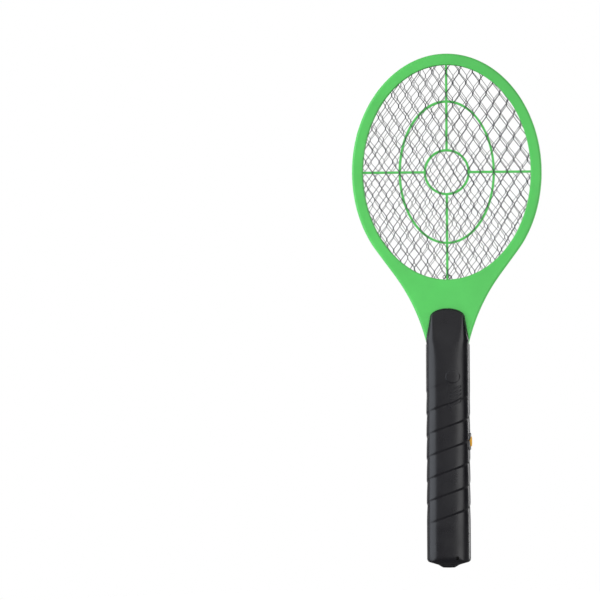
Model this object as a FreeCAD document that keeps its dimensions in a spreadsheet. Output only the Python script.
import FreeCAD, Part
import math
import os
import re

import Sketcher
from FreeCAD import Rotation, Vector

# Electric fly swatter, upright. The origin is in the middle of the hand grip, +Z points along the
# handle to the head, -Y is the front with the twisted grip, and +X is the side with the button.
# Heights are measured from the origin. Depths are measured from the parting plane, y = 0, in which
# the front and rear mouldings meet.

SIZES = {
    # head, green
    "head_height": (257.0, "height of the head's centre"),
    "head_half_width": (84.5, "rim, outer half width"),
    "head_half_length": (105.5, "rim, outer half length"),
    "opening_half_width": (74.8, "opening, half width"),
    "opening_half_length": (95.6, "opening, half length"),
    "rebate_half_width": (79.5, "seat of the meshes, half width"),
    "rebate_half_length": (100.5, "seat of the meshes, half length"),
    "head_depth": (6.0, "depth of each half of the head"),
    "lip_depth": (1.4, "lip that holds the meshes"),
    "rim_rounding": (2.4, "rounding of the rim's outer edge"),
    # neck, green
    "neck_join_width": (66.2, "half width where the neck leaves the rim"),
    "neck_bend_width": (50.0, "half width where the neck starts to curve in"),
    "neck_bend_height": (169.5, "height of that bend"),
    "neck_curve_radius": (172.0, "radius of the neck's hollow side"),
    "neck_foot_width": (18.6, "half width where the neck meets the handle"),
    "neck_cavity_depth": (4.0, "hollow of the neck in each half"),
    "spigot_width": (12.0, "half width of the spigot inside the handle"),
    "spigot_foot": (80.0, "height of the spigot's lower end"),
    "collar_overlap": (0.2, "how far the neck's foot stands above the collar"),
    "lug_hole_radius": (3.3, "holes of the spigot round the screw lugs"),
    "hollow_top": (150.0, "height of the neck hollow's wide part"),
    "hollow_half_width": (29.0, "neck hollow, half width at its widest"),
    "hollow_throat": (13.0, "neck hollow, half width above the lead passage"),
    "hollow_throat_height": (109.0, "height where the neck hollow narrows to the lead passage"),
    "lead_passage": (8.0, "lead passage to the meshes, half width"),
    # meshes and spacer grids
    "mesh_thickness": (0.5, "thickness of each mesh"),
    "mesh_half_width": (79.0, "outer meshes, half width"),
    "mesh_half_length": (100.0, "outer meshes, half length"),
    "live_half_width": (77.4, "centre mesh, half width"),
    "live_half_length": (98.4, "centre mesh, half length"),
    "mesh_margin": (2.4, "plain border of a mesh"),
    "diamond_width": (12.0, "pitch of the diamonds across"),
    "diamond_length": (19.8, "pitch of the diamonds along"),
    "strand_width": (0.9, "width of a mesh strand"),
    "knot_length": (2.3, "length of the knots between diamonds"),
    "terminal_radius": (1.3, "wire eyelets on the meshes, radius"),
    "terminal_wire": (0.4, "wire of those eyelets, radius"),
    "terminal_offset": (2.7, "those eyelets, sideways from the middle"),
    "grid_start": (0.4, "depth where a spacer grid starts"),
    "grid_depth": (3.5, "depth of a spacer grid"),
    "front_mesh_start": (4.0, "depth where an outer mesh starts"),
    "rib_width": (2.0, "width of the grid's ribs"),
    "rib_overlap": (2.5, "how far the ribs run into the grid's band"),
    "band_clearance": (0.3, "gap between the grid's band and the frame"),
    "band_setback": (0.8, "how far the band stays behind the opening's edge"),
    "oval_half_width": (41.9, "inner oval rib, half width at its middle"),
    "oval_half_length": (63.0, "inner oval rib, half length at its middle"),
    "ring_radius": (19.5, "centre ring rib, radius at its middle"),
    # handle, black
    "grip_half_width": (19.5, "handle, half width"),
    "grip_depth": (14.0, "depth of each half of the handle"),
    "corner_radius": (11.0, "rounding of the handle's section"),
    "wall": (2.0, "wall of the handle shells"),
    "collar_height": (103.4, "top of the handle's side walls"),
    "cavity_top": (96.0, "top of the handle's main hollow"),
    "tongue_top": (134.2, "height of the tongue's upper corners"),
    "tongue_edge_depth": (8.2, "depth of the tongue's upper edge"),
    "tongue_slope_start": (80.0, "height where the front starts to slope back"),
    "tongue_gap": (0.1, "gap between tongue and neck"),
    "tongue_half_width": (9.0, "tongue, half width of its flat top"),
    "tongue_shoulder": (15.2, "tongue, half width below its rounded corners"),
    "tongue_corner": (6.8, "tongue, radius of its upper corners"),
    "tongue_crown": (60.0, "radius of the tongue's slightly domed top"),
    "tongue_foot_rise": (3.0, "how far above the collar the tongue reaches its full width"),
    "side_foot": (-87.6, "height where the straight sides end"),
    "heel_radius": (3.2, "rounding of the handle's lower corners"),
    "heel_width": (2.6, "how far the lower corners go in"),
    "lobe_foot_width": (9.8, "half width where the end's lobe starts"),
    "lobe_half_width": (5.4, "half width of the lobe's low part"),
    "lobe_radius": (76.0, "radius of the lobe's underside"),
    "end_foot": (-95.2, "height of the handle's lowest point"),
    "foot_rise": (4.6, "how far above the sides' end the faces start to round in"),
    "foot_radius": (9.5, "rounding of the faces at the lower end"),
    "foot_edge_depth": (7.0, "depth of the lower end"),
    "bulkhead_top": (-22.5, "wall between the cells and the board, top"),
    "bulkhead_foot": (-24.5, "the same, underside"),
    "cell_bay_foot": (-83.1, "floor of the cell bay"),
    "notch_half_width": (6.0, "notch for the cell leads in that wall, half width"),
    "notch_depth": (8.0, "depth where that notch starts"),
    "groove_pitch": (20.0, "pitch of the grip's oblique grooves"),
    "groove_depth": (0.6, "depth of those grooves"),
    "groove_width": (3.0, "width of those grooves"),
    "groove_climb": (3.2, "how far each groove climbs on each side of the middle"),
    "top_groove_height": (32.5, "height of the highest groove"),
    "emblem_height": (70.0, "height of the plain oval on the front"),
    # push button and switch
    "button_height": (17.0, "height of the button's centre"),
    "button_half_length": (4.5, "button, half length along the handle"),
    "button_half_depth": (4.0, "button, half depth"),
    "button_reach": (21.3, "button's face at rest"),
    "button_travel": (1.5, "travel of the button"),
    "slot_clearance": (0.3, "clearance of the button in its slot"),
    "guard_reach": (20.4, "raised guard round the button"),
    "flange_height": (1.4, "the button's inner flange, thickness"),
    "switch_reach": (11.5, "outer face of the switch body"),
    "plunger_radius": (1.6, "switch plunger, radius"),
    "plunger_clearance": (0.05, "running clearance of the plunger"),
    "socket_clearance": (0.02, "clearance of the plunger in the button"),
    "socket_depth": (3.5, "depth of the button's socket for the plunger"),
    "button_spring_radius": (2.5, "button spring, radius"),
    "button_spring_wire": (0.2, "button spring, wire radius"),
    "cell_spring_radius": (4.2, "cell springs, radius"),
    "cell_spring_wire": (0.4, "cell springs, wire radius"),
    # battery door
    "bed_depth": (8.5, "depth of the bed that the door slides on"),
    "door_half_width": (16.6, "battery door, half width"),
    "door_top": (-21.3, "upper edge of the door"),
    "door_clearance": (0.2, "clearance round the door"),
    "rail_inner": (14.3, "inner side of the door's rails"),
    "rail_outer": (16.1, "outer side of the rails' hooks"),
    "rail_foot": (-72.0, "lower end of the rails"),
    "rail_top": (-34.0, "upper end of the rails"),
    "rail_depth": (2.2, "how far the rails reach inside the bed"),
    "hook_thickness": (0.9, "thickness of the rails' hooks"),
    "door_hollow_width": (13.6, "hollow of the door, half width"),
    # cells and contacts
    "cell_radius": (7.15, "AA cell, radius"),
    "cell_length": (49.2, "AA cell, length without its stud"),
    "stud_radius": (2.75, "positive stud, radius"),
    "stud_length": (1.3, "positive stud, length"),
    "cell_spacing": (7.6, "each cell's axis from the middle"),
    "cell_depth": (1.0, "the cells' axes behind the parting plane"),
    "contact_top": (-24.6, "upper contacts, upper face"),
    "contact_foot": (-83.0, "bridge contact, lower face"),
    "contact_thickness": (0.5, "contact plates"),
    "contact_width": (13.0, "width of a contact plate for one cell"),
    "contact_bump": (1.2, "bump that meets the stud"),
    "spring_clearance": (0.1, "gap at each end of a cell spring"),
    # circuit board
    "board_depth": (4.0, "front face of the board behind the parting plane"),
    "board_thickness": (1.6, "circuit board, thickness"),
    "board_half_width": (14.0, "circuit board, half width"),
    "board_foot": (-9.0, "circuit board, lower edge"),
    "board_top": (66.0, "circuit board, upper edge"),
    # screws and leads
    "screw_radius": (1.25, "handle screws, shank"),
    "screw_foot": (-8.5, "depth of the handle screws' points"),
    "screw_seat": (6.0, "depth of the handle screws' seats"),
    "screw_head_radius": (2.3, "handle screws, head"),
    "screw_head_height": (1.7, "handle screws, height of the head"),
    "screw_well_radius": (2.5, "wells of the handle screws' heads"),
    "lug_radius": (3.0, "the handle's screw lugs"),
    "head_screw_radius": (0.9, "head screws, shank"),
    "head_screw_seat": (1.5, "depth of the head screws' wells"),
    "head_screw_well": (1.9, "wells of the head screws' heads, radius"),
    "head_screw_head": (1.7, "head screws, head's radius"),
    "head_screw_height": (1.1, "head screws, height of the head"),
    "head_screw_foot": (-4.1, "depth of the head screws' points"),
    "head_screw_clearance": (0.05, "clearance of the head screws in the rear frame"),
    "post_radius": (2.4, "the board's posts"),
    "board_screw_radius": (0.85, "board screws, shank"),
    "board_screw_head": (1.8, "board screws, head's radius"),
    "board_screw_height": (1.2, "board screws, height of the head"),
    "lead_radius": (0.7, "insulated leads"),
    "eyelet_radius": (1.6, "bore for a wrist cord"),
    "eyelet_offset": (8.0, "that bore, sideways from the middle"),
    "eyelet_height": (-86.3, "that bore's height"),
}

FRONT = 1  # towards -Y
REAR = -1  # towards +Y
SCREW_LUGS = [("7", "91"), ("-7", "91"), ("10", "-16"), ("-10", "-16")]
BOARD_POSTS = [("-10.5", "61"), ("10.5", "-4.5")]
RIM_SCREW_ANGLES = [22.5 + 45.0 * step for step in range(8)]
GROOVES = 5
SPRING_TURNS = 4
TRANSFORMER_PLACE = ("-6.5", "38")
CAPACITOR_CORNER = ("0.5", "43")
DIODE_PLACES = [("6", 56.0), ("6", 59.6), ("-3", 57.0), ("-3", 60.6)]
RESISTOR_PLACES = [("-7", 2.0), ("-7", 6.0), ("-7", 10.0)]
TRANSISTOR_PLACE = ("1", "4")
BELOW = "-110"  # a height clear of the handle's lower end
CLEAR_WIDTH = "30"  # a half width clear of the handle's sides
CLEAR_DEPTH = "25"  # a depth clear of the handle's faces

doc = FreeCAD.newDocument("fly_swatter")
sheet = doc.addObject("Spreadsheet::Sheet", "Sizes")
for row, (alias, (number, meaning)) in enumerate(SIZES.items(), start=1):
    sheet.set(f"A{row}", meaning)
    sheet.set(f"B{row}", str(number))
    sheet.setAlias(f"B{row}", alias)
doc.recompute()

nodes = []


# ---------------------------------------------------------------- expressions and sketches


def linked(expression):
    """The expression with each size's name pointing at its cell of the sheet."""
    return re.sub(
        r"[a-z_]+",
        lambda word: "Sizes." + word.group() if word.group() in SIZES else word.group(),
        str(expression),
    )


def value(expression):
    """The expression's number with the sheet's present sizes."""
    return float(sheet.evalExpression(linked(expression)))


def bind(target, prop, expression):
    target.setExpression(prop, linked(expression))


def keep(item, label):
    """Name a finished sub-part and list it for export."""
    item.Label = label
    nodes.append(item)
    return item


def new_body(label):
    return keep(doc.addObject("PartDesign::Body", label), label)


def new_sketch(body, role, name, offset="0"):
    """A sketch on one of the body's origin planes, moved along that plane's normal."""
    sketch = body.newObject("Sketcher::SketchObject", name)
    plane = next(item for item in body.Origin.OriginFeatures if item.Role == role)
    sketch.AttachmentSupport = [(plane, "")]
    sketch.MapMode = "FlatFace"
    bind(sketch, "AttachmentOffset.Base.z", offset)
    return sketch


def constrain(sketch, kind, *parts, expression=None):
    """Add a constraint, with its size bound to the sheet when an expression is given."""
    if expression is None:
        return sketch.addConstraint(Sketcher.Constraint(kind, *parts))
    number = sketch.addConstraint(Sketcher.Constraint(kind, *parts, value(expression)))
    bind(sketch, f"Constraints[{number}]", expression)
    return number


def place_point(sketch, geometry, point, across, up):
    constrain(sketch, "DistanceX", -1, 1, geometry, point, expression=across)
    constrain(sketch, "DistanceY", -1, 1, geometry, point, expression=up)


def arc_between(first, last, radius):
    """The short arc from first to last. A positive radius has its centre on the left of travel."""
    chord = last - first
    left = Vector(-chord.y, chord.x, 0).normalize()
    rise = math.sqrt(radius**2 - (chord.Length / 2) ** 2)
    centre = (first + last) / 2 + left * math.copysign(rise, radius)
    start, end = (first, last) if radius > 0 else (last, first)
    angles = [math.atan2((p - centre).y, (p - centre).x) for p in (start, end)]
    if angles[1] < angles[0]:
        angles[1] += 2 * math.pi
    return Part.ArcOfCircle(Part.Circle(centre, Vector(0, 0, 1), abs(radius)), *angles)


def add_outline(sketch, corners):
    """A closed outline through (across, up) corners; a third item is the radius of the arc that
    leaves the corner."""
    points = [Vector(value(corner[0]), value(corner[1]), 0) for corner in corners]
    ends = []
    for number, corner in enumerate(corners):
        first = points[number]
        last = points[(number + 1) % len(points)]
        if len(corner) == 2:
            edge = sketch.addGeometry(Part.LineSegment(first, last))
            ends.append((edge, 1, 2))
            continue
        radius = value(corner[2])
        edge = sketch.addGeometry(arc_between(first, last, radius))
        constrain(sketch, "Radius", edge, expression=f"abs({corner[2]})")
        ends.append((edge, 1, 2) if radius > 0 else (edge, 2, 1))
    for number, (edge, start, _) in enumerate(ends):
        before, _, end = ends[number - 1]
        constrain(sketch, "Coincident", before, end, edge, start)
        place_point(sketch, edge, start, corners[number][0], corners[number][1])


def mirrored(half):
    """The whole outline from its right half, listed from top to bottom, clockwise seen."""
    left = []
    for number in range(len(half) - 1, -1, -1):
        corner = (f"-({half[number][0]})", half[number][1])
        if number and len(half[number - 1]) == 3:
            corner += (half[number - 1][2],)
        left.append(corner)
    return half + left


def add_rectangle(sketch, left, right, low, high):
    add_outline(sketch, [(left, low), (right, low), (right, high), (left, high)])


def add_circle(sketch, across, up, radius):
    centre = Vector(value(across), value(up), 0)
    circle = sketch.addGeometry(Part.Circle(centre, Vector(0, 0, 1), value(radius)))
    place_point(sketch, circle, 3, across, up)
    constrain(sketch, "Radius", circle, expression=radius)


def add_ellipse(sketch, half_width, half_length):
    """An upright ellipse round the head's centre."""
    middle = value("head_height")
    top = Vector(0, middle + value(half_length), 0)
    side = Vector(value(half_width), middle, 0)
    ellipse = sketch.addGeometry(Part.Ellipse(top, side, Vector(0, middle, 0)))
    sketch.exposeInternalGeometry(ellipse)
    place_point(sketch, ellipse, 3, "0", "head_height")
    constrain(sketch, "Vertical", ellipse + 1)
    constrain(sketch, "Distance", ellipse + 1, expression=f"2 * ({half_length})")
    constrain(sketch, "Distance", ellipse + 2, expression=f"2 * ({half_width})")


def facing(side, depth):
    """Offset of an XZ sketch that lies this deep on this side of the parting plane."""
    return depth if side == FRONT else f"-({depth})"


def add_block(body, side, name, draw, start, depth):
    """Material from one depth outwards, on the front or the rear side."""
    sketch = new_sketch(body, "XZ_Plane", name + "_sketch", facing(side, start))
    draw(sketch)
    pad = body.newObject("PartDesign::Pad", name)
    pad.Profile = sketch
    pad.Reversed = side == REAR
    bind(pad, "Length", depth)
    doc.recompute()
    return pad


def cut_away(body, name, sketch, depth, reverse=False):
    """Remove the sketch's profile over a depth, and make sure that it removed something."""
    before = body.Shape.Volume
    pocket = body.newObject("PartDesign::Pocket", name)
    pocket.Profile = sketch
    pocket.Reversed = reverse
    bind(pocket, "Length", depth)
    doc.recompute()
    if not body.Shape.Volume < before - 1e-3:
        raise RuntimeError(f"{name} cuts nothing from {body.Label}")
    return pocket


def cut_block(body, side, name, draw, start, depth):
    """Remove material from one depth outwards, on the front or the rear side."""
    sketch = new_sketch(body, "XZ_Plane", name + "_sketch", facing(side, start))
    draw(sketch)
    return cut_away(body, name, sketch, depth, reverse=side == FRONT)


# ---------------------------------------------------------------- primitives


def place(item, corner):
    for axis, expression in zip("xyz", corner, strict=True):
        bind(item, "Placement.Base." + axis, expression)
    return item


def box(name, corner, sides):
    item = doc.addObject("Part::Box", name)
    for side, expression in zip(("Length", "Width", "Height"), sides, strict=True):
        bind(item, side, expression)
    return place(item, corner)


def rod(name, base, direction, radius, length):
    """A cylinder from its base's centre along a direction."""
    item = doc.addObject("Part::Cylinder", name)
    item.Placement.Rotation = Rotation(Vector(0, 0, 1), Vector(*direction))
    bind(item, "Radius", radius)
    bind(item, "Height", length)
    return place(item, base)


def join(name, parts):
    item = doc.addObject("Part::MultiFuse", name)
    item.Shapes = parts
    return item


def subtract(name, base, tools):
    item = doc.addObject("Part::Cut", name)
    item.Base = base
    item.Tool = tools[0] if len(tools) == 1 else join(name + "_tools", tools)
    return item


def group(name, parts):
    """Equal pieces that share one node and stay separate solids."""
    item = doc.addObject("Part::Compound", name)
    item.Links = parts
    return item


def made(name, shape, placement=None):
    """A shape worked out in code from the sheet's sizes."""
    item = doc.addObject("Part::Feature", name)
    item.Shape = shape
    item.Placement = placement or FreeCAD.Placement()
    return item


# ---------------------------------------------------------------- head


def neck_outline():
    join_height = "head_height - head_half_length * sqrt(1 - (neck_join_width / head_half_width)^2)"
    return mirrored(
        [
            ("neck_join_width - 12", "head_height - head_half_length * 0.5"),
            ("neck_join_width", join_height),
            ("neck_bend_width", "neck_bend_height", "neck_curve_radius"),
            ("neck_foot_width", "collar_height + collar_overlap"),
            ("spigot_width", "collar_height + collar_overlap"),
            ("spigot_width", "spigot_foot"),
        ]
    )


def neck_hollow():
    return mirrored(
        [
            ("lead_passage", "head_height - rebate_half_length + 4"),
            ("lead_passage", "hollow_top"),
            ("hollow_half_width", "hollow_top"),
            ("hollow_half_width", "hollow_top - 5"),
            ("hollow_throat + 4", "hollow_throat_height + 13"),
            ("hollow_throat", "hollow_throat_height"),
            ("3", "hollow_throat_height"),
            ("3", "spigot_foot - 1"),
        ]
    )


def rim_points():
    """Centres of the rim's screws, half way across the solid band outside the meshes."""
    across = "(head_half_width + rebate_half_width) / 2"
    along = "(head_half_length + rebate_half_length) / 2"
    return [
        (f"{across} * cos({angle})", f"head_height + {along} * sin({angle})")
        for angle in RIM_SCREW_ANGLES
    ]


def round_rim(body, side):
    """Round the rim's outer edge on the face that is seen."""
    face_y = -side * value("head_depth")
    edges = []
    for number, edge in enumerate(body.Shape.Edges, start=1):
        bounds = edge.BoundBox
        flat = abs(bounds.YMin - face_y) < 1e-4 and abs(bounds.YMax - face_y) < 1e-4
        if flat and bounds.ZMin > value("collar_height"):
            edges.append(f"Edge{number}")
    blank = body.Tip
    fillet = body.newObject("PartDesign::Fillet", "rim_fillet")
    fillet.Base = (blank, edges)
    bind(fillet, "Radius", "rim_rounding")
    doc.recompute()


def frame_half(label, side):
    """One half of the head: rim, neck and the spigot that the handle clamps."""
    body = new_body(label)
    full = "head_depth"
    add_block(body, side, "rim", lambda s: add_ellipse(s, "head_half_width", "head_half_length"), "0", full)
    add_block(body, side, "neck", lambda s: add_outline(s, neck_outline()), "0", full)
    round_rim(body, side)
    cut_block(
        body,
        side,
        "opening",
        lambda s: add_ellipse(s, "opening_half_width", "opening_half_length"),
        "-1",
        "head_depth + 2",
    )
    cut_block(
        body,
        side,
        "mesh_seat",
        lambda s: add_ellipse(s, "rebate_half_width", "rebate_half_length"),
        "0",
        "head_depth - lip_depth",
    )
    cut_block(body, side, "hollow", lambda s: add_outline(s, neck_hollow()), "0", "neck_cavity_depth")
    cut_block(body, side, "lug_holes", draw_lug_holes, "-1", "head_depth + 2")
    if side == REAR:
        radius = "head_screw_radius + head_screw_clearance"
        seat = "head_depth - head_screw_seat"
        cut_block(body, side, "screw_holes", lambda s: draw_rim_holes(s, radius), "-1", "head_depth + 2")
        cut_block(body, side, "screw_heads", lambda s: draw_rim_holes(s, "head_screw_well"), seat, "3")
    else:
        reach = "0.1 - head_screw_foot"
        cut_block(body, side, "screw_holes", lambda s: draw_rim_holes(s, "head_screw_radius"), "0", reach)


def draw_rim_holes(sketch, radius):
    for across, up in rim_points():
        add_circle(sketch, across, up, radius)


def draw_lug_holes(sketch):
    """Holes of the spigot, where the handle's two upper screw lugs pass through."""
    for across, up in SCREW_LUGS[:2]:
        add_circle(sketch, across, up, "lug_hole_radius")


def head_screws():
    """Self-tapping screws, put in from the rear, with their heads in the counterbores."""
    sizes = {
        "foot": "head_screw_foot",
        "seat": "head_depth - head_screw_seat",
        "shank": "head_screw_radius",
        "head": "head_screw_head",
        "height": "head_screw_height",
        "recess": ("0.5", "0.5"),
    }
    screws = [pan_screw(f"rim_screw_{number}", place, sizes) for number, place in enumerate(rim_points())]
    keep(group("head_screws", screws), "head_screws")


def pan_screw(name, place, sizes):
    """A screw that points to the front, with a round recess (radius and depth) in its head."""
    across, up = place
    seat, height = sizes["seat"], sizes["height"]
    radius, depth = sizes["recess"]
    head = rod(name + "_head", (across, seat, up), (0, 1, 0), sizes["head"], height)
    length = f"{seat} + 0.1 - ({sizes['foot']})"
    shank = rod(name + "_shank", (across, sizes["foot"], up), (0, 1, 0), sizes["shank"], length)
    recess = rod(name + "_recess", (across, f"{seat} + {height} - {depth}", up), (0, 1, 0), radius, "1")
    return subtract(name, join(name + "_solid", [head, shank]), [recess])


def spacer_grid(label, side):
    """Cross, centre ring and inner oval ribs, carried by an oval band under the rim's lip."""
    body = new_body(label)
    start = "grid_start"
    depth = "grid_depth"
    half_rib = "rib_width / 2"
    reach_up = "head_height + rebate_half_length - rib_overlap"
    reach_down = "head_height - rebate_half_length + rib_overlap"
    reach_out = "rebate_half_width - rib_overlap"

    def draw_upright(sketch):
        add_rectangle(sketch, f"-{half_rib}", half_rib, reach_down, reach_up)

    def draw_level(sketch):
        low, high = f"head_height - {half_rib}", f"head_height + {half_rib}"
        add_rectangle(sketch, f"-({reach_out})", reach_out, low, high)

    def draw_oval(sketch):
        add_ellipse(sketch, f"oval_half_width + {half_rib}", f"oval_half_length + {half_rib}")
        add_ellipse(sketch, f"oval_half_width - {half_rib}", f"oval_half_length - {half_rib}")

    def draw_band(sketch):
        add_ellipse(sketch, "rebate_half_width - band_clearance", "rebate_half_length - band_clearance")
        add_ellipse(sketch, "opening_half_width + band_setback", "opening_half_length + band_setback")

    add_block(body, side, "upright_rib", draw_upright, start, depth)
    add_block(body, side, "level_rib", draw_level, start, depth)
    add_block(body, side, "oval_rib", draw_oval, start, depth)
    add_block(body, side, "band", draw_band, start, depth)
    ring = f"ring_radius + {half_rib}"
    add_block(body, side, "ring_rib", lambda s: add_circle(s, "0", "head_height", ring), start, depth)
    inside = f"ring_radius - {half_rib}"
    cut_block(body, side, "ring_hole", lambda s: add_circle(s, "0", "head_height", inside), "0", "6")


def diamonds(half_width, half_length):
    """The holes of a mesh: hexagons stretched along Z, with short upright sides at the knots."""
    wide, tall = value("diamond_width"), value("diamond_length")
    knot, strand = value("knot_length"), value("strand_width")
    slope = (tall / 2 - knot) / (wide / 2)
    drop = strand / 2 * math.hypot(1.0, slope)
    side = wide / 2 - strand * 0.9
    shoulder = knot / 2 + (wide / 2 - side) * slope - drop
    apex = tall / 2 - knot / 2 - drop
    middle = value("head_height")
    faces = []
    for level in range(-int(2 * half_length / tall) - 1, int(2 * half_length / tall) + 2):
        shift = wide / 2 if level % 2 else 0.0
        for step in range(-int(half_width / wide) - 1, int(half_width / wide) + 2):
            x, z = step * wide + shift, middle + level * tall / 2
            half = [(side, -shoulder), (side, shoulder), (0.0, apex)]
            corners = half + [(-across, -up) for across, up in half]
            points = [Vector(x + across, 0, z + up) for across, up in corners]
            faces.append(Part.Face(Part.makePolygon(points + points[:1])))
    return faces


def oval_face(half_width, half_length):
    """An upright oval in the XZ plane."""
    middle = value("head_height")
    top = Vector(0, 0, middle + half_length)
    oval = Part.Ellipse(top, Vector(half_width, 0, middle), Vector(0, 0, middle))
    return Part.Face(Part.Wire(oval.toShape()))


def mesh(label, half_width, half_length, start):
    """One expanded-metal sheet."""
    wide, tall = value(half_width), value(half_length)
    margin = value("mesh_margin")
    holes = oval_face(wide - margin, tall - margin).common(Part.Compound(diamonds(wide, tall)))
    face = oval_face(wide, tall).cut(holes)
    face.translate(Vector(0, value(start), 0))
    keep(made(label, face.extrude(Vector(0, value("mesh_thickness"), 0)).Solids[0]), label)


def head_meshes():
    outer = ("mesh_half_width", "mesh_half_length")
    mesh("front_mesh", *outer, "-front_mesh_start - mesh_thickness")
    mesh("centre_mesh", "live_half_width", "live_half_length", "-mesh_thickness / 2")
    mesh("rear_mesh", *outer, "front_mesh_start")


# ---------------------------------------------------------------- handle shells


def end_outline():
    """Right half of the handle's lower end, from the straight side to the middle of the lobe."""
    return [
        ("grip_half_width", "side_foot", "-heel_radius"),
        ("grip_half_width - heel_width", "side_foot - 2.9"),
        ("lobe_foot_width", "side_foot - 4.9"),
        ("lobe_half_width", "end_foot + 0.2", "-lobe_radius"),
    ]


def front_outline():
    """The shells seen from the front: tongue on top, straight sides, shallow lobe at the end."""
    tongue = [
        ("tongue_half_width", "tongue_top", "-tongue_corner"),
        ("tongue_shoulder", "tongue_top - 6.2"),
        ("grip_half_width", "collar_height + tongue_foot_rise"),
    ]
    outline = mirrored(tongue + end_outline())
    return outline[:-1] + [outline[-1] + ("-tongue_crown",)]


def trim_to_section(body, side):
    """Round the block to the handle's section, the same over its whole height."""
    sketch = new_sketch(body, "XY_Plane", "section_sketch", BELOW)
    inner = -1 if side == FRONT else 1
    edge = f"{inner} * (grip_depth - corner_radius)"
    face = f"{inner} * grip_depth"
    bend = f"{inner} * corner_radius"
    half = [("grip_half_width", f"{-inner} * 2"), ("grip_half_width", edge, bend)]
    half.append(("grip_half_width - corner_radius", face))
    add_outline(sketch, mirrored(half))
    add_rectangle(sketch, f"-{CLEAR_WIDTH}", CLEAR_WIDTH, f"-{CLEAR_DEPTH}", CLEAR_DEPTH)
    cut_away(body, "section", sketch, f"tongue_top + 20 - ({BELOW})", reverse=True)


def trim_to_side_profile(body, side):
    """Slope the tongue back towards the neck, and round the lower end."""
    sketch = new_sketch(body, "YZ_Plane", "side_sketch", CLEAR_WIDTH)
    out = -1 if side == FRONT else 1
    face = f"{out} * grip_depth"
    edge = f"{out} * tongue_edge_depth"
    slope_radius = "((tongue_top - tongue_slope_start)^2 + (grip_depth - tongue_edge_depth)^2)"
    slope_radius = f"{-out} * {slope_radius} / (2 * (grip_depth - tongue_edge_depth))"
    top = [(face, "tongue_slope_start", f"-({slope_radius})"), (edge, "tongue_top")]
    clear = f"{out} * {CLEAR_DEPTH}"
    top += [(edge, "tongue_top + 5"), (clear, "tongue_top + 5"), (clear, "tongue_slope_start")]
    add_outline(sketch, top)
    add_outline(sketch, foot_cutter(out))
    cut_away(body, "side_profile", sketch, f"2 * {CLEAR_WIDTH}")


def foot_cutter(out):
    """What the rounded lower end loses on one side, seen from the side."""
    edge, clear = f"{out} * foot_edge_depth", f"{out} * {CLEAR_DEPTH}"
    start = "side_foot + foot_rise"
    return [
        (f"{out} * grip_depth", start, f"{-out} * foot_radius"),
        (edge, "end_foot + 2.4"),
        (edge, BELOW),
        (clear, BELOW),
        (clear, start),
    ]


def hollow(body, side, name, low, high):
    """Hollow the handle between two heights, leaving the wall."""
    sketch = new_sketch(body, "XY_Plane", name + "_sketch", low)
    inner = -1 if side == FRONT else 1
    edge = f"{inner} * (grip_depth - corner_radius)"
    face = f"{inner} * (grip_depth - wall)"
    bend = f"{inner} * (corner_radius - wall)"
    side_x = "grip_half_width - wall"
    half = [(side_x, f"{-inner} * 2"), (side_x, edge, bend), ("grip_half_width - corner_radius", face)]
    add_outline(sketch, mirrored(half))
    cut_away(body, name, sketch, f"({high}) - ({low})", reverse=True)


def draw_guard(sketch):
    low, high = "button_height - button_half_length - 3", "button_height + button_half_length + 3"
    add_rectangle(sketch, "grip_half_width - 1", "guard_reach", low, high)


def draw_button_slot(sketch):
    reach = "button_half_length + slot_clearance"
    low, high = f"button_height - ({reach})", f"button_height + {reach}"
    add_rectangle(sketch, "grip_half_width - wall - 1", "25", low, high)


def draw_neck_socket(sketch):
    add_rectangle(sketch, "-spigot_width - 0.3", "spigot_width + 0.3", "cavity_top - 1", "collar_height + 1")


def draw_above_collar(sketch):
    add_rectangle(sketch, "-30", "30", "collar_height", "150")


def draw_grooves(sketch):
    """Straight bands that climb to the right across the flat of the handle."""
    for number in range(GROOVES):
        middle = f"top_groove_height - {number} * groove_pitch"
        left, right = f"{middle} - groove_climb", f"{middle} + groove_climb"
        reach = "(grip_half_width - corner_radius)"
        lower = [(f"-{reach}", left), (reach, right)]
        upper = [(reach, f"{right} + groove_width"), (f"-{reach}", f"{left} + groove_width")]
        add_outline(sketch, lower + upper)


def shell_half(label, side):
    """What the two handle shells share: outside form, hollows, collar, button slot and grooves."""
    body = new_body(label)
    add_block(body, side, "blank", lambda s: add_outline(s, front_outline()), "0", "grip_depth")
    trim_to_section(body, side)
    trim_to_side_profile(body, side)
    add_block(body, side, "button_guard", draw_guard, "0", "button_half_depth + 2.4")
    hollow(body, side, "main_hollow", "bulkhead_top", "cavity_top")
    hollow(body, side, "cell_bay", "cell_bay_foot", "bulkhead_foot")
    neck_gap = "head_depth + tongue_gap"
    cut_block(body, side, "neck_seat", draw_above_collar, "0", neck_gap)
    cut_block(body, side, "neck_socket", draw_neck_socket, "0", neck_gap)
    cut_block(body, side, "button_slot", draw_button_slot, "0", "button_half_depth + slot_clearance")
    return body


def front_shell():
    body = shell_half("handle_front_shell", FRONT)
    cut_block(body, FRONT, "grooves", draw_grooves, "grip_depth - groove_depth", "5")
    cut_block(body, FRONT, "lead_notch", draw_lead_notch, "notch_depth", "grip_depth - wall - notch_depth")
    add_block(body, FRONT, "screw_lugs", lambda s: draw_lugs(s, "lug_radius"), "0", "grip_depth - wall + 0.5")
    cut_block(body, FRONT, "screw_holes", lambda s: draw_lugs(s, "screw_radius"), "0", "0.5 - screw_foot")
    cut_block(body, FRONT, "cord_bore", draw_cord_bore, "4", "20")
    sketch = new_sketch(body, "XY_Plane", "cord_exit_sketch", "-100")
    add_circle(sketch, "eyelet_offset", "-4.2 - eyelet_radius", "eyelet_radius - 0.3")
    cut_away(body, "cord_exit", sketch, "100 + eyelet_height", reverse=True)
    add_block(body, FRONT, "emblem", draw_emblem, "grip_depth - 0.5", "0.9")


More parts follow.
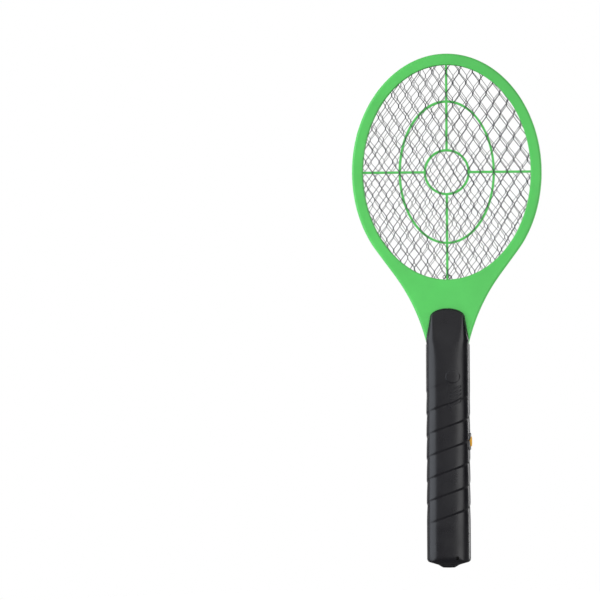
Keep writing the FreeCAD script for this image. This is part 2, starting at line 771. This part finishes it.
def draw_emblem(sketch):
    """A plain raised oval with two slanting bars below it."""
    for number in range(2):
        low = f"emblem_height - 11 - {number} * 6"
        add_outline(sketch, [("-6", low), ("6", f"{low} + 5"), ("6", f"{low} + 7.5"), ("-6", f"{low} + 2.5")])
    add_circle(sketch, "0", "emblem_height + 4", "6")


def draw_lead_notch(sketch):
    """Opening of the wall between the cells and the board, for the cell leads."""
    low, high = "bulkhead_foot - 1.5", "bulkhead_top + 1.5"
    add_rectangle(sketch, "-notch_half_width", "notch_half_width", low, high)


def draw_cord_bore(sketch):
    add_circle(sketch, "eyelet_offset", "eyelet_height", "eyelet_radius")


def draw_lugs(sketch, radius):
    for across, up in SCREW_LUGS:
        add_circle(sketch, across, up, radius)


def rear_shell():
    body = shell_half("handle_rear_shell", REAR)
    bed = "door_half_width + door_clearance"
    cut_block(
        body,
        REAR,
        "door_bed",
        lambda s: add_rectangle(s, f"-({bed})", bed, BELOW, "door_top + door_clearance"),
        "bed_depth",
        "20",
    )
    for number, hand in enumerate(("1", "-1")):
        inner, outer = f"{hand} * (rail_inner - 0.3)", f"{hand} * (rail_outer + 0.3)"
        low, high = (inner, outer) if hand == "1" else (outer, inner)
        cut_block(
            body,
            REAR,
            f"rail_way_{number}",
            lambda s, low=low, high=high: add_rectangle(s, low, high, BELOW, "cell_bay_foot + 1"),
            "bed_depth - 2.6",
            "5",
        )
    lug_length = "grip_depth - wall + 0.4"
    add_block(body, REAR, "screw_lugs", lambda s: draw_lugs(s, "lug_radius"), "0.1", lug_length)
    cut_block(body, REAR, "screw_holes", lambda s: draw_lugs(s, "screw_radius + 0.15"), "0", "20")
    cut_block(body, REAR, "screw_heads", lambda s: draw_lugs(s, "screw_well_radius"), "screw_seat", "20")
    back = "board_depth + board_thickness"
    post_length = f"grip_depth - wall - ({back}) + 0.5"
    add_block(body, REAR, "board_posts", lambda s: draw_posts(s, "post_radius"), back, post_length)
    cut_block(body, REAR, "post_holes", lambda s: draw_posts(s, "board_screw_radius"), "0", "10.5")


def draw_posts(sketch, radius):
    for across, up in BOARD_POSTS:
        add_circle(sketch, across, up, radius)


def battery_door():
    """Sliding cover: a curved plate on the bed, with two rails hooked under the bed's edges."""
    body = new_body("battery_door")
    start = "bed_depth + 0.1"
    lower = [("door_half_width", "door_top"), ("door_half_width", "side_foot - 3.05")] + end_outline()[2:]
    thickness = f"grip_depth - ({start})"
    add_block(body, REAR, "plate", lambda s: add_outline(s, mirrored(lower)), start, thickness)
    trim_to_section(body, REAR)
    trim_door_foot(body)
    cut_block(body, REAR, "door_hollow", draw_door_hollow, "0", "grip_depth - wall")
    for number, hand in enumerate(("1", "-1")):
        add_rail(body, number, hand)


def draw_door_hollow(sketch):
    width = "door_hollow_width"
    add_rectangle(sketch, f"-{width}", width, "cell_bay_foot", "door_top - 3")


def trim_door_foot(body):
    sketch = new_sketch(body, "YZ_Plane", "foot_sketch", CLEAR_WIDTH)
    add_outline(sketch, foot_cutter(1))
    cut_away(body, "door_foot", sketch, f"2 * {CLEAR_WIDTH}")


def add_rail(body, number, hand):
    def draw_leg(sketch):
        ends = sorted((f"{hand} * rail_inner", f"{hand} * (rail_inner + 1)"), key=value)
        add_rectangle(sketch, *ends, "rail_foot", "rail_top")

    def draw_hook(sketch):
        ends = sorted((f"{hand} * rail_inner", f"{hand} * rail_outer"), key=value)
        add_rectangle(sketch, *ends, "rail_foot", "rail_top")

    add_block(body, REAR, f"leg_{number}", draw_leg, "bed_depth - rail_depth", "rail_depth + 1")
    add_block(body, REAR, f"hook_{number}", draw_hook, "bed_depth - rail_depth", "hook_thickness")


def handle_screws():
    """Self-tapping screws, put in from the rear, deep in the rear shell's lugs."""
    sizes = {
        "foot": "screw_foot",
        "seat": "screw_seat",
        "shank": "screw_radius",
        "head": "screw_head_radius",
        "height": "screw_head_height",
        "recess": ("0.8", "0.9"),
    }
    screws = [pan_screw(f"handle_screw_{number}", place, sizes) for number, place in enumerate(SCREW_LUGS)]
    keep(group("handle_screws", screws), "handle_screws")


# ---------------------------------------------------------------- button and switch


def push_button():
    """Cap that slides in the side slot, with a flange inside the wall and a socket for the stem."""
    half_depth, half_length = "button_half_depth", "button_half_length"
    flange_base = "grip_half_width - wall - 0.3 - flange_height"
    cap = box(
        "button_cap",
        (flange_base, f"-{half_depth}", f"button_height - {half_length}"),
        (f"button_reach - ({flange_base})", f"2 * {half_depth}", f"2 * {half_length}"),
    )
    flange = box(
        "button_flange",
        (flange_base, f"-{half_depth} - 1.2", f"button_height - {half_length} - 1.2"),
        ("flange_height", f"2 * {half_depth} + 2.4", f"2 * {half_length} + 2.4"),
    )
    rounded = doc.addObject("Part::Fillet", "button_rounded")
    rounded.Base = cap
    doc.recompute()
    outer_face = value("button_reach")
    rounded.Edges = [
        (number, 1.1, 1.1)
        for number, edge in enumerate(cap.Shape.Edges, start=1)
        if edge.BoundBox.XMax > outer_face - 1e-4
    ]
    mouth = (flange_base, "0", "button_height")
    socket = rod("button_socket", mouth, (1, 0, 0), "plunger_radius + socket_clearance", "socket_depth")
    solid = subtract("push_button", join("button_solid", [rounded, flange]), [socket])
    keep(solid, "push_button")


def switch():
    """Momentary switch on the board, its stem towards the button."""
    body = box(
        "switch_case",
        ("switch_reach - 7", "-board_depth + 0.1", "button_height - 4"),
        ("7", "2 * board_depth - 0.1", "8"),
    )
    well = rod(
        "switch_well",
        ("switch_reach - 5", "0", "button_height"),
        (1, 0, 0),
        "plunger_radius + plunger_clearance",
        "6",
    )
    keep(subtract("switch_body", body, [well]), "switch_body")
    stem_end = "grip_half_width - wall - 0.3 - flange_height + socket_depth - 0.1"
    stem_base = "switch_reach - 5 + button_travel + 0.6"
    length = f"{stem_end} - ({stem_base})"
    stem = rod("switch_plunger", (stem_base, "0", "button_height"), (1, 0, 0), "plunger_radius", length)
    keep(stem, "switch_plunger")


def coil(name, base, direction, radius, wire, length, turns):
    """A round-wire spring along a direction: level half turns, joined by climbing half turns."""
    pitch = (length - 2 * wire) / turns
    edges = []
    for turn in range(turns):
        near = Vector(radius, 0, turn * pitch)
        far = Vector(-radius, 0, turn * pitch)
        risen = Vector(radius, 0, (turn + 1) * pitch)
        climb_middle = (far + risen) / 2 - Vector(0, (risen - far).Length / 2, 0)
        edges.append(Part.Arc(near, Vector(0, radius, turn * pitch), far).toShape())
        edges.append(Part.Arc(far, climb_middle, risen).toShape())
    profile = Part.Wire(Part.makeCircle(wire, Vector(radius, 0, 0), Vector(0, 1, 0)))
    spring = Part.Wire(edges).makePipeShell([profile], True, False)
    along = Vector(*direction)
    foot = Vector(*base) + along * wire
    return made(name, spring, FreeCAD.Placement(foot, Rotation(Vector(0, 0, 1), along)))


def button_spring():
    """Return spring round the stem, between the switch and the button's flange."""
    start = value("switch_reach") + 0.05
    length = value("grip_half_width - wall - 0.3 - flange_height") - 0.05 - start
    base = (start, 0, value("button_height"))
    radius, wire = value("button_spring_radius"), value("button_spring_wire")
    keep(coil("button_spring", base, (1, 0, 0), radius, wire, length, SPRING_TURNS), "button_spring")


# ---------------------------------------------------------------- cells and contacts


def cell(label, across, base, nub_up):
    """AA cell with a rounded rim, its stud up or down."""
    shoulder = base if nub_up else f"{base} + stud_length"
    axis_depth = "cell_depth"
    can = rod(label + "_can", (across, axis_depth, shoulder), (0, 0, 1), "cell_radius", "cell_length")
    stud_base = f"{base} + cell_length - 0.1" if nub_up else base
    foot = (across, axis_depth, stud_base)
    stud = rod(label + "_stud", foot, (0, 0, 1), "stud_radius", "stud_length + 0.1")
    keep(join(label, [can, stud]), label)


def contact_plate(label, across, width, low, bump_across, bump_up):
    """Thin plate against the bay's end, with a bump where a stud meets it."""
    plate = box(label + "_plate", (across, "cell_depth - 5", low), (width, "10", "contact_thickness"))
    if bump_across is None:
        return keep(plate, label)
    base = f"{low} - contact_bump" if not bump_up else f"{low} + contact_thickness"
    bump = rod(label + "_bump", (bump_across, "cell_depth", base), (0, 0, 1), "2.2", "contact_bump")
    return keep(join(label, [plate, bump]), label)


def battery_bay():
    """Two cells side by side, head to tail, in series through the bridge contact."""
    upper = "contact_top - contact_thickness"
    stud_top = f"{upper} - contact_bump"
    left_base = f"{stud_top} - stud_length - cell_length"
    right_base = "contact_foot + contact_thickness + contact_bump"
    cell("aa_cell_left", "-cell_spacing", left_base, True)
    cell("aa_cell_right", "cell_spacing", right_base, False)
    left, right, width = "-cell_spacing - contact_width / 2", "cell_spacing - contact_width / 2", "contact_width"
    both = f"2 * cell_spacing + {width}"
    contact_plate("positive_contact", left, width, upper, "-cell_spacing", False)
    contact_plate("negative_contact", right, width, upper, None, False)
    contact_plate("bridge_contact", left, both, "contact_foot", "cell_spacing", True)
    depth = value("cell_depth")
    clear = value("spring_clearance")
    low = value("contact_foot + contact_thickness") + clear
    left_gap = value(left_base) - low - clear
    radius, wire = value("cell_spring_radius"), value("cell_spring_wire")
    foot = (-value("cell_spacing"), depth, low)
    left = coil("spring_left", foot, (0, 0, 1), radius, wire, left_gap, SPRING_TURNS)
    high = value(f"{right_base} + stud_length + cell_length") + clear
    right_gap = value(upper) - clear - high
    foot = (value("cell_spacing"), depth, high)
    right = coil("spring_right", foot, (0, 0, 1), radius, wire, right_gap, SPRING_TURNS)
    keep(group("battery_springs", [left, right]), "battery_springs")


# ---------------------------------------------------------------- circuit board


def circuit_board():
    plate = box(
        "board_plate",
        ("-board_half_width", "board_depth", "board_foot"),
        ("2 * board_half_width", "board_thickness", "board_top - board_foot"),
    )
    holes = [
        rod(f"board_hole_{number}", (across, "board_depth - 1", up), (0, 1, 0), "0.95", "4")
        for number, (across, up) in enumerate(BOARD_POSTS)
    ]
    keep(subtract("circuit_board", plate, holes), "circuit_board")


def board_screws():
    screws = []
    for number, (across, up) in enumerate(BOARD_POSTS):
        name = f"board_screw_{number}"
        seat = "board_depth - board_screw_height"
        head = rod(name + "_head", (across, seat, up), (0, 1, 0), "board_screw_head", "board_screw_height")
        shank = rod(name + "_shank", (across, "board_depth - 0.1", up), (0, 1, 0), "board_screw_radius", "6")
        screws.append(join(name, [head, shank]))
    keep(group("board_screws", screws), "board_screws")


def transformer(across, up):
    """Ferrite core with two windows, and the winding round its centre leg."""
    middle_y = value("board_depth") - 5.3
    frame = box("core_block", (f"{across} - 6.5", f"{middle_y} - 3", f"{up} - 6.5"), ("13", "6", "13"))
    windows = [
        box(f"core_window_{number}", (f"{across} + {low}", f"{middle_y} - 4", f"{up} - 4.5"), ("3", "8", "9"))
        for number, low in enumerate((-4.8, 1.8))
    ]
    keep(subtract("transformer_core", frame, windows), "transformer_core")
    corner = (f"{across} - 4.6", f"{middle_y} - 5.2", f"{up} - 4.3")
    block = box("winding_block", corner, ("9.2", "10.4", "8.6"))
    corner = (f"{across} - 1.85", f"{middle_y} - 3.05", f"{up} - 5")
    bore = box("winding_bore", corner, ("3.7", "6.1", "10"))
    keep(subtract("transformer_winding", block, [bore]), "transformer_winding")


def film_capacitor():
    across, up = CAPACITOR_CORNER
    case = box("capacitor_case", (across, "board_depth - 9", up), ("11", "8", "9"))
    rounded = doc.addObject("Part::Fillet", "capacitor_rounded")
    rounded.Base = case
    doc.recompute()
    rounded.Edges = [(number, 1.6, 1.6) for number in range(1, len(case.Shape.Edges) + 1)]
    legs = [
        rod(
            f"capacitor_leg_{number}",
            (f"{across} + {shift}", "board_depth - 2", f"{up} + 4.5"),
            (0, 1, 0),
            "0.35",
            "2",
        )
        for number, shift in enumerate((2, 9))
    ]
    keep(join("high_voltage_capacitor", [rounded] + legs), "high_voltage_capacitor")


def axial_part(name, across, up, radius, length):
    """A small leaded part lying across the board, with its wires bent down to it."""
    axis_y = "board_depth - 2.2"
    reach = length / 2 + 2
    body = rod(name + "_body", (f"{across} - {length / 2}", axis_y, up), (1, 0, 0), str(radius), str(length))
    wire = rod(name + "_wire", (f"{across} - {reach}", axis_y, up), (1, 0, 0), "0.3", str(2 * reach))
    legs = [
        rod(f"{name}_leg_{side}", (f"{across} + {shift}", axis_y, up), (0, 1, 0), "0.25", "2.2")
        for side, shift in enumerate((-reach + 0.6, reach - 0.6))
    ]
    return join(name, [body, wire] + legs)


def small_parts():
    diodes = [
        axial_part(f"diode_{number}", across, str(up), 1.35, 5.0)
        for number, (across, up) in enumerate(DIODE_PLACES)
    ]
    keep(group("multiplier_diodes", diodes), "multiplier_diodes")
    resistors = [
        axial_part(f"resistor_{number}", across, str(up), 1.1, 4.4)
        for number, (across, up) in enumerate(RESISTOR_PLACES)
    ]
    keep(group("resistors", resistors), "resistors")


def transistor():
    """Small three-legged transistor with a flat face."""
    across, up = TRANSISTOR_PLACE
    round_case = rod("transistor_round", (across, "board_depth - 6.5", up), (0, 1, 0), "2.4", "4.8")
    flat = box("transistor_flat", (f"{across} - 4", "board_depth - 8", f"{up} + 1.3"), ("8", "8", "4"))
    case = subtract("transistor_case", round_case, [flat])
    legs = []
    for number in range(3):
        foot = (f"{across} + {1.27 * (number - 1)}", "board_depth - 2", up)
        legs.append(rod(f"transistor_leg_{number}", foot, (0, 1, 0), "0.25", "2"))
    keep(join("switching_transistor", [case] + legs), "switching_transistor")


# ---------------------------------------------------------------- leads


def lead(label, route, radius, bend):
    """An insulated wire along straight runs joined by tangent arcs."""
    points = [Vector(*point) for point in route]
    edges = []
    begin = points[0]
    for before, corner, after in zip(points, points[1:], points[2:], strict=False):
        back = (before - corner).normalize()
        ahead = (after - corner).normalize()
        half_turn = (math.pi - back.getAngle(ahead)) / 2
        reach = bend * math.tan(half_turn)
        first, last = corner + back * reach, corner + ahead * reach
        inward = (back + ahead).normalize()
        middle = corner + inward * (bend / math.cos(half_turn) - bend)
        edges.append(Part.LineSegment(begin, first).toShape())
        edges.append(Part.Arc(first, middle, last).toShape())
        begin = last
    edges.append(Part.LineSegment(begin, points[-1]).toShape())
    path = Part.Wire(edges)
    start_direction = points[1] - points[0]
    profile = Part.Wire(Part.makeCircle(radius, points[0], start_direction))
    tube = path.makePipeShell([profile], True, False)
    expected = math.pi * radius**2 * path.Length
    if abs(tube.Volume - expected) > 0.02 * expected:
        raise RuntimeError(f"{label} has the wrong volume")
    keep(made(label, tube), label)


def leads():
    """High-voltage leads up the neck to the meshes, and the cell leads to the board."""
    radius = value("lead_radius")
    front = value("board_depth") - radius
    top = value("board_top")
    for name, hand in (("high_voltage_lead", 1), ("ground_lead", -1)):
        soldered, leaving = (3 * hand, front, top - 3), (3 * hand, front, top + 6)
        lead(name, [soldered, leaving, (1.5 * hand, 0, 88), (1.5 * hand, 0, 157)], radius, 5)
    bay = value("contact_top") + 0.02
    foot = value("board_foot")
    for name, across in (("battery_lead_positive", -4.5), ("battery_lead_negative", 4.5)):
        contact, rising = (across, -9.8, bay - 1.2), (across, -9.8, -12)
        lead(name, [contact, rising, (across, front, foot + 6)], radius, 4)


def mesh_terminals():
    """Small eyelets at the foot of the head that join the leads to the meshes."""
    height = value("head_height - opening_half_length + 2.2")
    across, wire = value("terminal_offset"), value("terminal_wire")
    clearance = 0.05
    front = -value("front_mesh_start + mesh_thickness") - wire - clearance
    centre = value("mesh_thickness") / 2 + wire + clearance + 0.05
    loops = []
    for number, (side, depth) in enumerate(((across, front), (-across, centre))):
        loop = Part.makeTorus(value("terminal_radius"), wire, Vector(side, depth, height), Vector(0, 1, 0))
        loops.append(made(f"terminal_{number}", loop))
    keep(group("mesh_terminals", loops), "mesh_terminals")


# ---------------------------------------------------------------- the whole object


def check_everything():
    doc.recompute()
    for item in doc.Objects:
        if {"Invalid", "Error"} & set(item.State):
            raise RuntimeError(f"{item.Label} failed: {item.State}")
    for item in nodes:
        if item.Shape.isNull() or not item.Shape.isValid() or not item.Shape.Solids:
            raise RuntimeError(f"{item.Label} has no sound solid")


def main():
    frame_half("front_frame", FRONT)
    frame_half("rear_frame", REAR)
    head_screws()
    spacer_grid("front_spacer_grid", FRONT)
    spacer_grid("rear_spacer_grid", REAR)
    head_meshes()
    mesh_terminals()
    front_shell()
    rear_shell()
    battery_door()
    handle_screws()
    push_button()
    switch()
    button_spring()
    battery_bay()
    circuit_board()
    board_screws()
    transformer(*TRANSFORMER_PLACE)
    film_capacitor()
    small_parts()
    transistor()
    leads()
    check_everything()
    os.makedirs("parts", exist_ok=True)
    for item in nodes:
        item.Shape.exportStep(os.path.join("parts", item.Label + ".step"))


main()
